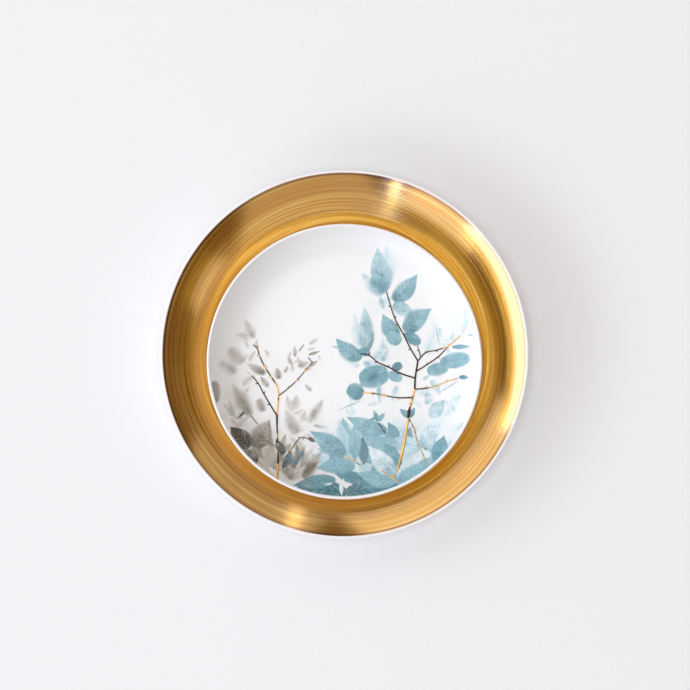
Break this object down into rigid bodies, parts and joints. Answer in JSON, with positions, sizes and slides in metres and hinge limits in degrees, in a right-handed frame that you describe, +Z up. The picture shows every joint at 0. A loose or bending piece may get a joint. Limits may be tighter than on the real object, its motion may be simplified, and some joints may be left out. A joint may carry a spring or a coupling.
{
  "type": "dinner plate",
  "caption": "Round gold-lined porcelain dinner plate with a smaller white porcelain plate, decorated with leaf sprays and gilt stems, lying loose in it.",
  "frame": {"origin": "on the table, at the centre of the dinner plate's foot ring", "axes": "+Z up out of the plates' faces; +Y towards the top of the leaf decoration, so the sprays grow from -Y, with the teal spray on +X"},
  "size_m": [0.28, 0.28, 0.0282],
  "materials": {
    "white_porcelain": "gloss",
    "brushed_gold": "satin",
    "leaf_transfer": "gloss",
    "gilt_enamel": "satin"
  },
  "bodies": {
    "dinner_plate": {"dinner_plate_body": "white_porcelain", "dinner_plate_gold_lining": "brushed_gold"},
    "leaf_plate": {"leaf_plate_body": "white_porcelain", "leaf_plate_leaf_transfer": "leaf_transfer", "leaf_plate_gilt_stems_right": "gilt_enamel", "leaf_plate_gilt_stems_left": "gilt_enamel"}
  },
  "joints": [
    {"name": "leaf_plate_lift", "type": "slide", "parent": "dinner_plate", "child": "leaf_plate", "axis": [0, 0, 1], "range_m": [0, 0.06]}
  ]
}
